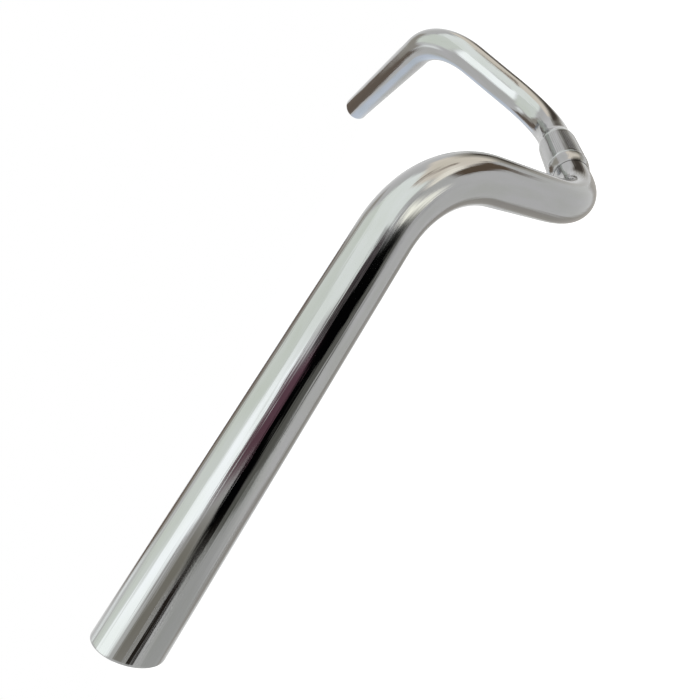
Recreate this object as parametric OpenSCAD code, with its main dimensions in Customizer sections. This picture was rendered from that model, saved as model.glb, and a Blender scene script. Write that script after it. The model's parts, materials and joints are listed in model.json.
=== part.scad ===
// Rising, swept-back bicycle handlebar.
// One bent steel tube with a pressed-on sleeve at the middle, where the stem clamps.
// The origin is the middle of the clamp. X runs along the bar to the rider's right, Y points
// forward and Z up. Each half leaves the clamp along X, is bent up in the XZ plane, climbs,
// and is bent again, outwards and back, into the straight grip end.

/* [Tube] */
// Outside diameter of the tube, which grips and levers slide on
tube_d = 22.2; // [20:0.1:24]
// Wall of the tube
tube_wall = 1.6; // [1:0.1:3]
// How much each face of the wall gives way where the tube is bent
bend_thinning = 0.02; // [0.01:0.01:0.1]
// Width of the chamfer that breaks the edges of the cut ends
end_break = 0.3; // [0.1:0.05:0.4]

/* [Bends] */
// Straight run from the middle of the bar to the start of the lower bend
centre_half = 38; // [36:1:80]
// Centreline radius of the lower bend, at the foot of the rise
rise_bend_r = 60; // [40:1:100]
// Angle that the lower bend turns through, up from the clamp axis
rise_angle = 59; // [20:1:80]
// Straight run between the two bends
rise_run = 39; // [10:1:90]
// Centreline radius of the upper bend, ahead of the grip
grip_bend_r = 60; // [40:1:100]
// Straight run of each grip end
grip_run = 150; // [110:1:220]
// Angle between a grip and the clamp axis
grip_angle = 45; // [30:1:85]
// Turn of the grips about the clamp axis, from straight up towards the rider
grip_turn = 78.5; // [60:0.5:100]

/* [Clamp sleeve] */
// Outside diameter of the sleeve, which the stem clamps
clamp_d = 25.4; // [25.2:0.1:28]
// Length of the sleeve at its full diameter
clamp_len = 36; // [36:1:50]
// Length of the swaged shoulder at each end of the sleeve
swage_len = 12; // [5:0.5:14]
// Height of the lip at the thin end of each shoulder
swage_lip = 0.2; // [0.1:0.05:0.5]
// Width of the turned V groove at each end of the full diameter
groove_width = 0.8; // [0.4:0.1:1.2]

/* [Knurl] */
// Length of the serrated band around the middle of the sleeve
knurl_len = 32; // [10:1:34]
// Number of serrations round the sleeve
knurl_count = 72; // [36:1:80]
// Depth of each serration
knurl_depth = 0.12; // [0.05:0.01:0.2]

/* [Hidden] */
$fn = 96;
tube_r = tube_d/2;
bore_r = tube_r - tube_wall;
clamp_r = clamp_d/2;
// Direction of each straight run of the right half
rise_dir = [cos(rise_angle), 0, sin(rise_angle)];
grip_dir = [cos(grip_angle), -sin(grip_angle)*sin(grip_turn), sin(grip_angle)*cos(grip_turn)];
// The upper bend's angle, and the turn of its plane about the rising run
grip_bend = acos(rise_dir*grip_dir);
grip_roll = atan2(-grip_dir.y, cos(rise_angle)*grip_dir.z - sin(rise_angle)*grip_dir.x);
// A shoulder is an S of two equal arcs, from the full diameter down to the lip
lip_r = tube_r + swage_lip;
shoulder_drop = clamp_r - lip_r;
shoulder_arc_r = (pow(swage_len, 2) + pow(shoulder_drop, 2))/(4*shoulder_drop);
// Corner angle of the V-shaped serrations, and how far their cutter stands proud
serration_angle = 90;
cutter_margin = 0.3;
// Length that a bend reaches into the wall of the straight run at each of its ends
bend_lap = 0.5;

// Cross-section of the tube, thinned on both faces by a given amount
module tube_section(thinning = 0) {
    difference() {
        circle(r = tube_r - thinning);
        circle(r = bore_r + thinning);
    }
}

// Straight run along +Z, with what follows at its end
module run(length) {
    linear_extrude(length) tube_section();
    translate([0, 0, length]) children();
}

// Bend that turns from +Z towards +X, with what follows at its end
module bend(radius, angle) {
    lap_angle = bend_lap/radius*180/PI;
    translate([radius, 0, 0])
        rotate([90, 0, 180])
            rotate([0, 0, -lap_angle])
                rotate_extrude(angle = angle + 2*lap_angle)
                    translate([radius, 0]) tube_section(bend_thinning);
    translate([radius*(1 - cos(angle)), 0, radius*sin(angle)])
        rotate([0, angle, 0]) children();
}

// Straight grip end along +Z, its cut end broken inside and out
module grip_end() {
    rotate_extrude()
        polygon([
            [bore_r, 0],
            [tube_r, 0],
            [tube_r, grip_run - end_break],
            [tube_r - end_break, grip_run],
            [bore_r + end_break, grip_run],
            [bore_r, grip_run - end_break]
        ]);
}

// Right half of the bar beyond the clamp's straight run
module arm() {
    translate([centre_half, 0, 0])
        rotate([0, -90, 180])
            bend(rise_bend_r, rise_angle)
                run(rise_run)
                    rotate([0, 0, grip_roll])
                        bend(grip_bend_r, grip_bend)
                            grip_end();
}

module bar_tube() {
    color("silver") {
        rotate([0, 90, 0]) linear_extrude(2*centre_half, center = true) tube_section();
        arm();
        mirror([1, 0, 0]) arm();
    }
}

// Radius across, axis up: one end of the sleeve, from the full diameter out to its lip
module shoulder_section() {
    half_len = swage_len/2;
    intersection() {
        translate([clamp_r - shoulder_arc_r, 0]) circle(r = shoulder_arc_r);
        translate([tube_r, 0]) square([clamp_r - tube_r, half_len]);
    }
    difference() {
        translate([tube_r, half_len]) square([swage_lip + shoulder_drop/2, half_len]);
        translate([lip_r + shoulder_arc_r, swage_len]) circle(r = shoulder_arc_r);
    }
}

// Ring-shaped cutter for the groove where the full diameter ends
module end_groove() {
    rotate_extrude()
        translate([clamp_r, (clamp_len + groove_width)/2])
            rotate(45) square(groove_width/sqrt(2), center = true);
}

// V-shaped cutter for one serration
module serration() {
    half_width = (knurl_depth + cutter_margin)*tan(serration_angle/2);
    translate([clamp_r - knurl_depth, 0, 0])
        linear_extrude(knurl_len, center = true)
            polygon([
                [0, 0],
                [knurl_depth + cutter_margin, -half_width],
                [knurl_depth + cutter_margin, half_width]
            ]);
}

module clamp_sleeve() {
    color("gainsboro")
        rotate([0, 90, 0])
            difference() {
                rotate_extrude() {
                    translate([tube_r, -clamp_len/2]) square([clamp_r - tube_r, clamp_len]);
                    translate([0, clamp_len/2]) shoulder_section();
                    mirror([0, 1]) translate([0, clamp_len/2]) shoulder_section();
                }
                end_groove();
                mirror([0, 0, 1]) end_groove();
                for (i = [0:knurl_count - 1])
                    rotate([0, 0, 360*i/knurl_count]) serration();
            }
}

bar_tube();
clamp_sleeve();
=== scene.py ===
import json
import math

import bpy
from mathutils import Matrix, Vector

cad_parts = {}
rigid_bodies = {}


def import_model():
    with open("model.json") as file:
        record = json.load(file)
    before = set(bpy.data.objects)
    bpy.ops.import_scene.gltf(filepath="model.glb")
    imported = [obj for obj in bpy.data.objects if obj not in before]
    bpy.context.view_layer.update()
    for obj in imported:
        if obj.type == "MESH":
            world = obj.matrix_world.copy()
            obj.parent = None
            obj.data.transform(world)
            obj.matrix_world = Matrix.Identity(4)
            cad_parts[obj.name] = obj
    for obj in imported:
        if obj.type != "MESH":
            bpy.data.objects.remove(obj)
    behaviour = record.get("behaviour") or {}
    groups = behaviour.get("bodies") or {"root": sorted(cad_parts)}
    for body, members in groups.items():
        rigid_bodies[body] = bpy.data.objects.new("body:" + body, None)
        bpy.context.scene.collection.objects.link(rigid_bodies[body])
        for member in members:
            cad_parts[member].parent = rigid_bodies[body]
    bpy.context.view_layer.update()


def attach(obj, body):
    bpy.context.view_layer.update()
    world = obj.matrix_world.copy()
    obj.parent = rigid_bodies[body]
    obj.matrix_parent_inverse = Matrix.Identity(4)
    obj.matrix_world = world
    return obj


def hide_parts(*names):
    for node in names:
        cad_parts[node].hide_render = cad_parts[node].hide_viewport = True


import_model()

MM = 0.001
# Width and height of the photograph, in pixels
PICTURE_SIDE = 700

# Driving sizes of the bent tube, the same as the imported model's
TUBE_R = 11.1 * MM
TUBE_WALL = 1.6 * MM
END_BREAK = 0.3 * MM
CENTRE_HALF = 38 * MM
RISE_BEND_R = 60 * MM
RISE_ANGLE = math.radians(59)
RISE_RUN = 39 * MM
GRIP_BEND_R = 60 * MM
GRIP_RUN = 150 * MM
GRIP_ANGLE = math.radians(45)
GRIP_TURN = math.radians(78.5)

# Direction of each straight run of the right half
CLAMP_DIR = Vector((1, 0, 0))
RISE_DIR = Vector((math.cos(RISE_ANGLE), 0, math.sin(RISE_ANGLE)))
GRIP_DIR = Vector((
    math.cos(GRIP_ANGLE),
    -math.sin(GRIP_ANGLE) * math.sin(GRIP_TURN),
    math.sin(GRIP_ANGLE) * math.cos(GRIP_TURN),
))


def linear(hex_colour):
    """An sRGB hex colour as the linear values that shaders take."""
    out = []
    for i in (1, 3, 5):
        c = int(hex_colour[i:i + 2], 16) / 255
        out.append(c / 12.92 if c <= 0.04045 else ((c + 0.055) / 1.055) ** 2.4)
    return (*out, 1.0)


# The colour sockets of a Mix node, which share their names with its number sockets
MIX_FACTOR = 0
MIX_FIRST = 6
MIX_SECOND = 7
MIX_RESULT = 2


def add_node(tree, kind, settings=None, links=None):
    """Add a node, set its values, and link its inputs: links maps an input to (node, output)."""
    node = tree.nodes.new(kind)
    for key, value in (settings or {}).items():
        if isinstance(key, str) and hasattr(node, key):
            setattr(node, key, value)
        else:
            node.inputs[key].default_value = value
    for key, (source, output) in (links or {}).items():
        tree.links.new(source.outputs[output], node.inputs[key])
    return node


def new_material(name):
    material = bpy.data.materials.new(name)
    material.use_nodes = True
    material.node_tree.nodes.clear()
    return material, material.node_tree


def direction(azimuth, elevation):
    """Unit vector: azimuth in degrees from +X towards +Y, elevation up from level."""
    a, e = math.radians(azimuth), math.radians(elevation)
    return Vector((math.cos(e) * math.cos(a), math.cos(e) * math.sin(a), math.sin(e)))


# The camera: close in front of the right grip and above it, looking back along the bar, and
# rolled so that the grip runs from the top right of the picture to the bottom left.
CAMERA_PLACE = Vector((331.2, 73.8, 128.6)) * MM
VIEW_AZIMUTH = -147.757
VIEW_ELEVATION = -21.511
VIEW_ROLL = math.radians(-64.558)
FOCAL_PIXELS = 542.7
CENTRE_PIXEL_X = 482.1
CENTRE_PIXEL_Y = 319.7
SENSOR_MM = 36.0
NEAREST_SEEN = 10 * MM
FARTHEST_SEEN = 50


def add_camera():
    look = direction(VIEW_AZIMUTH, VIEW_ELEVATION)
    level = look.cross(Vector((0, 0, 1))).normalized()
    right = Matrix.Rotation(-VIEW_ROLL, 3, look) @ level
    up = right.cross(look)
    lens = bpy.data.cameras.new("photo_camera")
    lens.sensor_width = SENSOR_MM
    lens.lens = FOCAL_PIXELS * SENSOR_MM / PICTURE_SIDE
    lens.shift_x = (PICTURE_SIDE / 2 - CENTRE_PIXEL_X) / PICTURE_SIDE
    lens.shift_y = (CENTRE_PIXEL_Y - PICTURE_SIDE / 2) / PICTURE_SIDE
    lens.clip_start = NEAREST_SEEN
    lens.clip_end = FARTHEST_SEEN
    camera = bpy.data.objects.new("photo_camera", lens)
    turn = Matrix((right, up, -look)).transposed().to_4x4()
    camera.matrix_world = Matrix.Translation(CAMERA_PLACE) @ turn
    bpy.context.collection.objects.link(camera)
    bpy.context.scene.camera = camera


# The bent tube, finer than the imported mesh, because polished chrome shows every facet
RING_POINTS = 96
BEND_STEPS = 32
# Short rings beside each bend keep the shading of the straight runs straight
GUARD_RING = 0.8 * MM
# Points closer than this are one point
SAME_POINT = 0.001 * MM
# Edges sharper than the first angle are broken, and those blunter than the second look smooth
BROKEN_EDGE_ANGLE = math.radians(60)
SMOOTH_EDGE_ANGLE = math.radians(50)
RIM_SEGMENTS = 3


def bend_axis(start_dir, end_dir):
    return start_dir.cross(end_dir).normalized()


def bend_centre(place, start_dir, end_dir, radius):
    return place + radius * bend_axis(start_dir, end_dir).cross(start_dir)


def bend_end(place, start_dir, end_dir, radius):
    outward = end_dir.cross(bend_axis(start_dir, end_dir))
    return bend_centre(place, start_dir, end_dir, radius) + radius * outward


# Each bend of the right half: where it starts, its directions in and out, and its radius
LOWER_BEND = (CLAMP_DIR * CENTRE_HALF, CLAMP_DIR, RISE_DIR, RISE_BEND_R)
UPPER_BEND = (bend_end(*LOWER_BEND) + RISE_DIR * RISE_RUN, RISE_DIR, GRIP_DIR, GRIP_BEND_R)
# Length of the centreline from the middle of the bar to one end
HALF_LENGTH = (CENTRE_HALF + RISE_BEND_R * RISE_ANGLE + RISE_RUN
               + GRIP_BEND_R * RISE_DIR.angle(GRIP_DIR) + GRIP_RUN)


def extrude_ring(offset):
    bpy.ops.mesh.extrude_region_move(TRANSFORM_OT_translate={"value": offset})


def extrude_run(run_dir, length):
    extrude_ring(run_dir * GUARD_RING)
    extrude_ring(run_dir * (length - 2 * GUARD_RING))
    extrude_ring(run_dir * GUARD_RING)


def spin_bend(place, start_dir, end_dir, radius):
    """Spin the selected ring round a bend. With no window, spin turns the other way."""
    bpy.ops.mesh.spin(steps=BEND_STEPS, angle=-start_dir.angle(end_dir),
                      center=bend_centre(place, start_dir, end_dir, radius),
                      axis=bend_axis(start_dir, end_dir))


def unbend(point, place, start_dir, end_dir, radius):
    """Where a point of the bent tube lay before this bend was made."""
    centre = bend_centre(place, start_dir, end_dir, radius)
    arm = point - centre
    turned = math.atan2(arm.dot(start_dir), arm.dot((place - centre).normalized()))
    turned = min(max(turned, 0), start_dir.angle(end_dir))
    back = Matrix.Rotation(-turned, 3, bend_axis(start_dir, end_dir)) @ arm
    return centre + back + start_dir * radius * turned


def mark_straight_tube(tube):
    """Store where each point lay in the straight tube, for lines that follow the bends."""
    straight = tube.data.attributes.new("straight_tube", "FLOAT_VECTOR", "POINT")
    for vertex in tube.data.vertices:
        side = -1 if vertex.co.x < 0 else 1
        right = Vector((abs(vertex.co.x), vertex.co.y, vertex.co.z))
        right = unbend(unbend(right, *UPPER_BEND), *LOWER_BEND)
        straight.data[vertex.index].vector = (side * right.x, right.y, right.z)


def model_tube(outside, inside):
    """Draw the right half's skin out of one ring, mirror it, give it a wall and break its rims."""
    bpy.ops.object.select_all(action="DESELECT")
    bpy.ops.mesh.primitive_circle_add(vertices=RING_POINTS, radius=TUBE_R,
                                      rotation=(0, math.pi / 2, 0))
    tube = bpy.context.object
    tube.name = "bent_tube"
    # The wall's inner face takes the second material, so both are there before it is made
    tube.data.materials.append(outside)
    tube.data.materials.append(inside)
    bpy.ops.object.transform_apply(location=True, rotation=True, scale=True)
    bpy.ops.object.mode_set(mode="EDIT")
    bpy.ops.mesh.select_all(action="SELECT")
    extrude_ring(CLAMP_DIR * (CENTRE_HALF - GUARD_RING))
    extrude_ring(CLAMP_DIR * GUARD_RING)
    spin_bend(*LOWER_BEND)
    extrude_run(RISE_DIR, RISE_RUN)
    spin_bend(*UPPER_BEND)
    extrude_run(GRIP_DIR, GRIP_RUN)
    bpy.ops.mesh.select_all(action="SELECT")
    bpy.ops.mesh.remove_doubles(threshold=SAME_POINT)
    bpy.ops.mesh.normals_make_consistent(inside=False)
    bpy.ops.object.mode_set(mode="OBJECT")
    halves = tube.modifiers.new("left_half", "MIRROR")
    halves.merge_threshold = SAME_POINT
    wall = tube.modifiers.new("tube_wall", "SOLIDIFY")
    wall.thickness = TUBE_WALL
    wall.offset = -1
    wall.material_offset = 1
    rim = tube.modifiers.new("broken_edges", "BEVEL")
    rim.limit_method = "ANGLE"
    rim.angle_limit = BROKEN_EDGE_ANGLE
    rim.width = END_BREAK
    rim.segments = RIM_SEGMENTS
    for modifier in ("left_half", "tube_wall", "broken_edges"):
        bpy.ops.object.modifier_apply(modifier=modifier)
    bpy.ops.object.shade_smooth_by_angle(angle=SMOOTH_EDGE_ANGLE)
    mark_straight_tube(tube)
    return tube


# The middle of a noise's range, where most of its values lie
NOISE_LOW = 0.35
NOISE_HIGH = 0.65


def drawn_out_noise(tree, lie, length, width, detail):
    """Noise with grains of a real length along the tube and a real width round it."""
    scaled = add_node(tree, "ShaderNodeVectorMath", {
        "operation": "MULTIPLY", 1: (1 / length, 1 / width, 1 / width)}, {0: lie})
    return add_node(tree, "ShaderNodeTexNoise", {"Scale": 1.0, "Detail": detail},
                    {"Vector": (scaled, 0)})


# Bright decorative chrome over nickel on a buffed steel tube: a cold grey mirror, with a thin
# haze in patches. The buff leaves fine lines along the tube, which draw the edges of
# reflections out into streaks, and a slow ripple that makes them wander. Real buffing lines are
# about 0.05 mm apart, too fine to show, so they are drawn coarser, 0.9 mm apart and deeper.
CHROME_HEX = "#a8a8a9"
HAZED_CHROME_HEX = "#a3a4a2"
BUFF_LINE_LENGTH = 60 * MM
BUFF_LINE_WIDTH = 0.9 * MM
BUFF_LINE_DEPTH = 0.08 * MM
BUFF_LINE_DETAIL = 3
RIPPLE_LENGTH = 30 * MM
RIPPLE_WIDTH = 7 * MM
RIPPLE_DEPTH = 0.25 * MM
RIPPLE_DETAIL = 1
HAZE_LENGTH = 24 * MM
HAZE_WIDTH = 5 * MM
HAZE_DETAIL = 4
# Roughness of the chrome where it is clean and where it is hazed
TUBE_CHROME_ROUGHNESS = (0.035, 0.07)
SLEEVE_CHROME_ROUGHNESS = (0.07, 0.13)


def chrome_plate(name, attribute, roughness):
    """Chrome whose lines follow a stored attribute or, without one, the piece's own X."""
    clean, hazed = roughness
    material, tree = new_material(name)
    if attribute:
        lie = (add_node(tree, "ShaderNodeAttribute", {"attribute_name": attribute}), "Vector")
    else:
        lie = (add_node(tree, "ShaderNodeTexCoord"), "Object")
    ripple = drawn_out_noise(tree, lie, RIPPLE_LENGTH, RIPPLE_WIDTH, RIPPLE_DETAIL)
    lines = drawn_out_noise(tree, lie, BUFF_LINE_LENGTH, BUFF_LINE_WIDTH, BUFF_LINE_DETAIL)
    haze = drawn_out_noise(tree, lie, HAZE_LENGTH, HAZE_WIDTH, HAZE_DETAIL)
    wander = add_node(tree, "ShaderNodeBump", {"Distance": RIPPLE_DEPTH}, {"Height": (ripple, 0)})
    face = add_node(tree, "ShaderNodeBump", {"Distance": BUFF_LINE_DEPTH},
                    {"Height": (lines, 0), "Normal": (wander, 0)})
    share = add_node(tree, "ShaderNodeMapRange", {"From Min": NOISE_LOW, "From Max": NOISE_HIGH},
                     {"Value": (haze, 0)})
    dullness = add_node(tree, "ShaderNodeMapRange", {"To Min": clean, "To Max": hazed},
                        {"Value": (share, 0)})
    tint = add_node(tree, "ShaderNodeMix", {
        "data_type": "RGBA", MIX_FIRST: linear(CHROME_HEX), MIX_SECOND: linear(HAZED_CHROME_HEX),
    }, {MIX_FACTOR: (share, 0)})
    plate = add_node(tree, "ShaderNodeBsdfPrincipled", {"Metallic": 1.0}, {
        "Base Color": (tint, MIX_RESULT), "Roughness": (dullness, 0), "Normal": (face, 0)})
    add_node(tree, "ShaderNodeOutputMaterial", None, {"Surface": (plate, 0)})
    return material


# Bare drawn steel inside the tube: dull grey-brown, with draw lines along it and a first
# bloom of rust. Its oxide skin makes it only half metal to the eye. The plating reaches a
# little way in from each open end.
BARE_STEEL_HEX = "#8a8580"
RUST_BLOOM_HEX = "#6e543e"
BORE_METALLIC = 0.5
BARE_STEEL_ROUGHNESS = 0.6
PLATED_STEEL_ROUGHNESS = 0.35
DRAW_LINE_DEPTH = 0.03 * MM
RUST_DETAIL = 5
PLATING_REACH = 14 * MM
PLATING_FADE = 7 * MM


def drawn_steel_bore():
    material, tree = new_material("drawn_steel_bore")
    lie = (add_node(tree, "ShaderNodeAttribute", {"attribute_name": "straight_tube"}), "Vector")
    lines = drawn_out_noise(tree, lie, BUFF_LINE_LENGTH, BUFF_LINE_WIDTH, BUFF_LINE_DETAIL)
    bloom = drawn_out_noise(tree, lie, HAZE_LENGTH, HAZE_WIDTH, RUST_DETAIL)
    axes = add_node(tree, "ShaderNodeSeparateXYZ", None, {0: lie})
    along = add_node(tree, "ShaderNodeMath", {"operation": "ABSOLUTE"}, {0: (axes, "X")})
    plating_ends = HALF_LENGTH - PLATING_REACH
    plated = add_node(tree, "ShaderNodeMapRange", {
        "From Min": plating_ends, "From Max": plating_ends + PLATING_FADE}, {"Value": (along, 0)})
    rusted = add_node(tree, "ShaderNodeMapRange", {"From Min": NOISE_LOW, "From Max": NOISE_HIGH},
                      {"Value": (bloom, 0)})
    steel = add_node(tree, "ShaderNodeMix", {
        "data_type": "RGBA", MIX_FIRST: linear(BARE_STEEL_HEX), MIX_SECOND: linear(RUST_BLOOM_HEX),
    }, {MIX_FACTOR: (rusted, 0)})
    colour = add_node(tree, "ShaderNodeMix", {"data_type": "RGBA", MIX_SECOND: linear(CHROME_HEX)},
                      {MIX_FACTOR: (plated, 0), MIX_FIRST: (steel, MIX_RESULT)})
    dullness = add_node(tree, "ShaderNodeMapRange", {
        "To Min": BARE_STEEL_ROUGHNESS, "To Max": PLATED_STEEL_ROUGHNESS}, {"Value": (plated, 0)})
    drawn = add_node(tree, "ShaderNodeBump", {"Distance": DRAW_LINE_DEPTH}, {"Height": (lines, 0)})
    wall = add_node(tree, "ShaderNodeBsdfPrincipled", {"Metallic": BORE_METALLIC}, {
        "Base Color": (colour, MIX_RESULT), "Roughness": (dullness, 0), "Normal": (drawn, 0)})
    add_node(tree, "ShaderNodeOutputMaterial", None, {"Surface": (wall, 0)})
    return material


def dress_sleeve():
    """The sleeve is turned and serrated, and less buffed, so its reflections are softer."""
    serrated_chrome = chrome_plate("serrated_chrome_plate", None, SLEEVE_CHROME_ROUGHNESS)
    for obj in bpy.data.objects:
        if obj.name.startswith("clamp_sleeve"):
            for slot in obj.material_slots:
                slot.material = serrated_chrome


# The studio. The places that cards and lamps are aimed at
CLAMP_MIDDLE = Vector((0, 0, 0))
BAR_MIDDLE = Vector((0, -40, 80)) * MM
GRIP_MIDDLE = Vector((206, -76, 109)) * MM
# How far the floor lies below the clamp, and how far it spreads, in metres
FLOOR_DROP = 600 * MM
FLOOR_SIDE = 40
FLOOR_HEX = "#f0f0ef"
# Light that the floor adds of its own: in all that shows it, and more to the camera alone
FLOOR_GLOW_SHOWN = 0.32
FLOOR_GLOW_TO_CAMERA = 0.4
# Level of the surroundings where they are shown, and as plain light on all else
SKY_SHOWN = 1.0
SKY_LIGHT = 0.55
WHITE = (1, 1, 1, 1)


def where_shown(tree, rays):
    """1 to the camera, to reflections and through glass, and 0 where a surface only gives light."""
    seen = add_node(tree, "ShaderNodeMath", {"operation": "MAXIMUM"},
                    {0: (rays, "Is Camera Ray"), 1: (rays, "Is Glossy Ray")})
    return add_node(tree, "ShaderNodeMath", {"operation": "MAXIMUM"},
                    {0: (seen, 0), 1: (rays, "Is Transmission Ray")})


def add_surroundings():
    """White to the camera and in reflections, and a plain level of light on everything else."""
    world = bpy.data.worlds.new("studio_white")
    bpy.context.scene.world = world
    world.use_nodes = True
    tree = world.node_tree
    tree.nodes.clear()
    rays = add_node(tree, "ShaderNodeLightPath")
    level = add_node(tree, "ShaderNodeMapRange", {"To Min": SKY_LIGHT, "To Max": SKY_SHOWN},
                     {"Value": (where_shown(tree, rays), 0)})
    sky = add_node(tree, "ShaderNodeBackground", {"Color": WHITE}, {"Strength": (level, 0)})
    add_node(tree, "ShaderNodeOutputWorld", None, {"Surface": (sky, 0)})


def matt_white_floor():
    """Matt white paint: a plain ground that keeps the bar's soft shadow and doesn't shine."""
    material, tree = new_material("matt_white_floor")
    rays = add_node(tree, "ShaderNodeLightPath")
    shown = add_node(tree, "ShaderNodeMath", {"operation": "MULTIPLY", 1: FLOOR_GLOW_SHOWN},
                     {0: (where_shown(tree, rays), 0)})
    to_camera = add_node(tree, "ShaderNodeMath", {"operation": "MULTIPLY", 1: FLOOR_GLOW_TO_CAMERA},
                         {0: (rays, "Is Camera Ray")})
    glow = add_node(tree, "ShaderNodeMath", {"operation": "ADD"},
                    {0: (shown, 0), 1: (to_camera, 0)})
    paint = add_node(tree, "ShaderNodeBsdfDiffuse", {"Color": linear(FLOOR_HEX)})
    light = add_node(tree, "ShaderNodeEmission", {"Color": WHITE}, {"Strength": (glow, 0)})
    face = add_node(tree, "ShaderNodeAddShader", None, {0: (paint, 0), 1: (light, 0)})
    add_node(tree, "ShaderNodeOutputMaterial", None, {"Surface": (face, 0)})
    return material


def add_floor():
    bpy.ops.object.select_all(action="DESELECT")
    bpy.ops.mesh.primitive_plane_add(size=FLOOR_SIDE, location=(0, 0, -FLOOR_DROP))
    floor = bpy.context.object
    floor.name = "studio_floor"
    floor.data.materials.append(matt_white_floor())


def add_lamp(name, azimuth, elevation, distance, side, radiance):
    """A big soft square lamp, in metres. Reflections show the card near it instead."""
    data = bpy.data.lights.new(name, "AREA")
    data.shape = "SQUARE"
    data.size = side
    data.energy = math.pi * side * side * radiance
    lamp = bpy.data.objects.new(name, data)
    lamp.location = BAR_MIDDLE + distance * direction(azimuth, elevation)
    lamp.rotation_euler = (lamp.location - BAR_MIDDLE).to_track_quat("Z", "Y").to_euler()
    lamp.visible_camera = False
    lamp.visible_glossy = False
    bpy.context.collection.objects.link(lamp)


# Middle of a card on its own UV map, and so the distance from there to each edge too
CARD_MIDDLE = 0.5


def card_material(name, colour, level, fade_x, fade_y):
    """A glowing panel that fades out towards its edges, as a lit cloth or board does in chrome."""
    material, tree = new_material(name)
    place = add_node(tree, "ShaderNodeTexCoord")
    split = add_node(tree, "ShaderNodeSeparateXYZ", None, {0: (place, "UV")})
    masks = []
    for axis, fade in (("X", fade_x), ("Y", fade_y)):
        off = add_node(tree, "ShaderNodeMath", {"operation": "SUBTRACT", 1: CARD_MIDDLE},
                       {0: (split, axis)})
        off = add_node(tree, "ShaderNodeMath", {"operation": "ABSOLUTE"}, {0: (off, 0)})
        masks.append(add_node(tree, "ShaderNodeMapRange", {
            "interpolation_type": "SMOOTHSTEP",
            "From Min": CARD_MIDDLE, "From Max": CARD_MIDDLE - fade,
        }, {"Value": (off, 0)}))
    mask = add_node(tree, "ShaderNodeMath", {"operation": "MULTIPLY"},
                    {0: (masks[0], 0), 1: (masks[1], 0)})
    glow = add_node(tree, "ShaderNodeEmission", {"Color": linear(colour), "Strength": level})
    clear = add_node(tree, "ShaderNodeBsdfTransparent")
    face = add_node(tree, "ShaderNodeMixShader", None, {0: (mask, 0), 1: (clear, 0), 2: (glow, 0)})
    add_node(tree, "ShaderNodeOutputMaterial", None, {"Surface": (face, 0)})
    return material


def add_card(name, aim, azimuth, elevation, distance, width, height, colour, level, soft, roll=0):
    """Add a soft-edged panel that only reflections show, facing the point that it is aimed at.

    Its place is an azimuth and elevation in degrees and a distance in metres from that point.
    Its width, height and roll are in degrees as seen from there, and soft is half the share of
    its shorter side that each edge takes to fade.
    """
    place = aim + distance * direction(azimuth, elevation)
    bpy.ops.object.select_all(action="DESELECT")
    bpy.ops.mesh.primitive_plane_add(size=1)
    card = bpy.context.object
    card.name = name
    across = 2 * distance * math.tan(math.radians(width) / 2)
    tall = 2 * distance * math.tan(math.radians(height) / 2)
    facing = (aim - place).to_track_quat("Z", "Y").to_matrix().to_4x4()
    turn = facing @ Matrix.Rotation(math.radians(roll), 4, "Z")
    card.matrix_world = Matrix.Translation(place) @ turn @ Matrix.Diagonal((across, tall, 1, 1))
    fade = 2 * soft * min(across, tall)
    card.data.materials.append(card_material(name, colour, level, fade / across, fade / tall))
    card.visible_camera = False
    card.visible_diffuse = False
    card.visible_shadow = False


add_camera()
bpy.context.scene.view_settings.view_transform = "Standard"

tube = model_tube(chrome_plate("bright_chrome_plate", "straight_tube", TUBE_CHROME_ROUGHNESS),
                  drawn_steel_bore())
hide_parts("bar_tube")
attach(tube, "root")
dress_sleeve()

add_surroundings()
add_floor()
add_lamp("key_lamp", 20, 52, 3.0, 2.0, 1.2)
add_lamp("top_lamp", 180, 80, 3.0, 2.5, 0.9)

# Lit cards: the white bands along the tops of the grips and bends
add_card("ceiling_card", BAR_MIDDLE, 170, 84, 2.6, 64, 64, "#f8fff7", 1.47, 0.1)
add_card("key_card", BAR_MIDDLE, 8, 54, 1.6, 58, 40, "#faffff", 2.33, 0.16, 10)
add_card("low_key_card", GRIP_MIDDLE, 44, 38, 1.15, 28, 18, "#faffff", 2.3, 0.15)
add_card("side_card", BAR_MIDDLE, 92, 34, 2.6, 72, 70, "#f9fffb", 1.75, 0.06)
add_card("left_card", BAR_MIDDLE, -99, 50, 2.6, 22, 20, "#fbffff", 1.7, 0.2)
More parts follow.
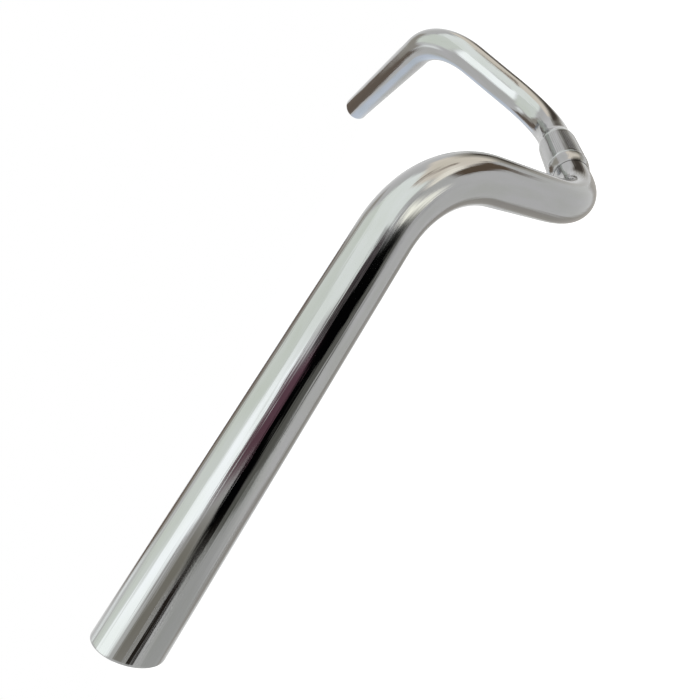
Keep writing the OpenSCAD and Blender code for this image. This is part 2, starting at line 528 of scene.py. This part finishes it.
# Ahead of the bar: beige and brown, with streaks across, over the near bends
add_card("beige_card", BAR_MIDDLE, 122, 2, 1.8, 62, 48, "#fff6e8", 1.42, 0.08)
add_card("dull_beige_card", BAR_MIDDLE, 150, -11, 1.05, 40, 48, "#bab4a8", 1.0, 0.2)
add_card("brown_patch", BAR_MIDDLE, 104, -28, 1.0, 38, 24, "#7c6c5c", 1.0, 0.12)
add_card("dark_streak", BAR_MIDDLE, 107, 9, 1.7, 8, 34, "#7a6050", 1.0, 0.3, -40)
add_card("bright_streak", BAR_MIDDLE, 94, -10, 1.7, 32, 20, "#fffaee", 1.85, 0.2)
add_card("low_bright_patch", BAR_MIDDLE, 63, -33, 0.95, 16, 50, "#fffff2", 2.2, 0.2)
add_card("clamp_flag", CLAMP_MIDDLE, 154, -4, 0.42, 24, 34, "#59524b", 1.0, 0.2)
# Behind the bar and under it: cloths that the far grip and the undersides show
add_card("back_card", BAR_MIDDLE, -150, 47, 2.7, 60, 26, "#cbc6bd", 1.0, 0.15)
add_card("brown_cloth", BAR_MIDDLE, -132, 28, 2.5, 46, 28, "#8a7d72", 1.0, 0.1)
add_card("pale_blue_cloth", BAR_MIDDLE, -126, -3, 1.3, 52, 34, "#e6f0ff", 1.32, 0.15)
add_card("grey_cloth", BAR_MIDDLE, -125, -58, 0.6, 110, 44, "#c6c2bc", 1.0, 0.15)
add_card("floor_cloth", GRIP_MIDDLE, -30, -52, 0.65, 80, 40, "#dfe0de", 1.0, 0.2)
# Beside the near grip: the black band along it and the duller bands at its edges. The nearer
# flags hide parts of the farther ones.
add_card("black_flag", GRIP_MIDDLE, 56, -22, 0.67, 34, 52, "#060607", 1.0, 0.12)
add_card("mid_black_flag", GRIP_MIDDLE, 35, -15, 0.67, 34, 36, "#060607", 1.0, 0.12)
add_card("near_black_flag", GRIP_MIDDLE, 15, -15, 0.66, 28, 28, "#332d28", 1.0, 0.2)
add_card("fringe_flag", GRIP_MIDDLE, 45, -38, 0.69, 62, 54, "#7c7c76", 1.0, 0.14)
add_card("grey_flag", GRIP_MIDDLE, 22, 13, 0.65, 36, 44, "#aaa69c", 1.0, 0.22)
add_card("mauve_flag", GRIP_MIDDLE, 44, 11, 0.65, 24, 38, "#825d6b", 1.0, 0.15)
add_card("dark_mauve_flag", GRIP_MIDDLE, 62, 7, 0.64, 26, 22, "#5f5558", 1.0, 0.15)
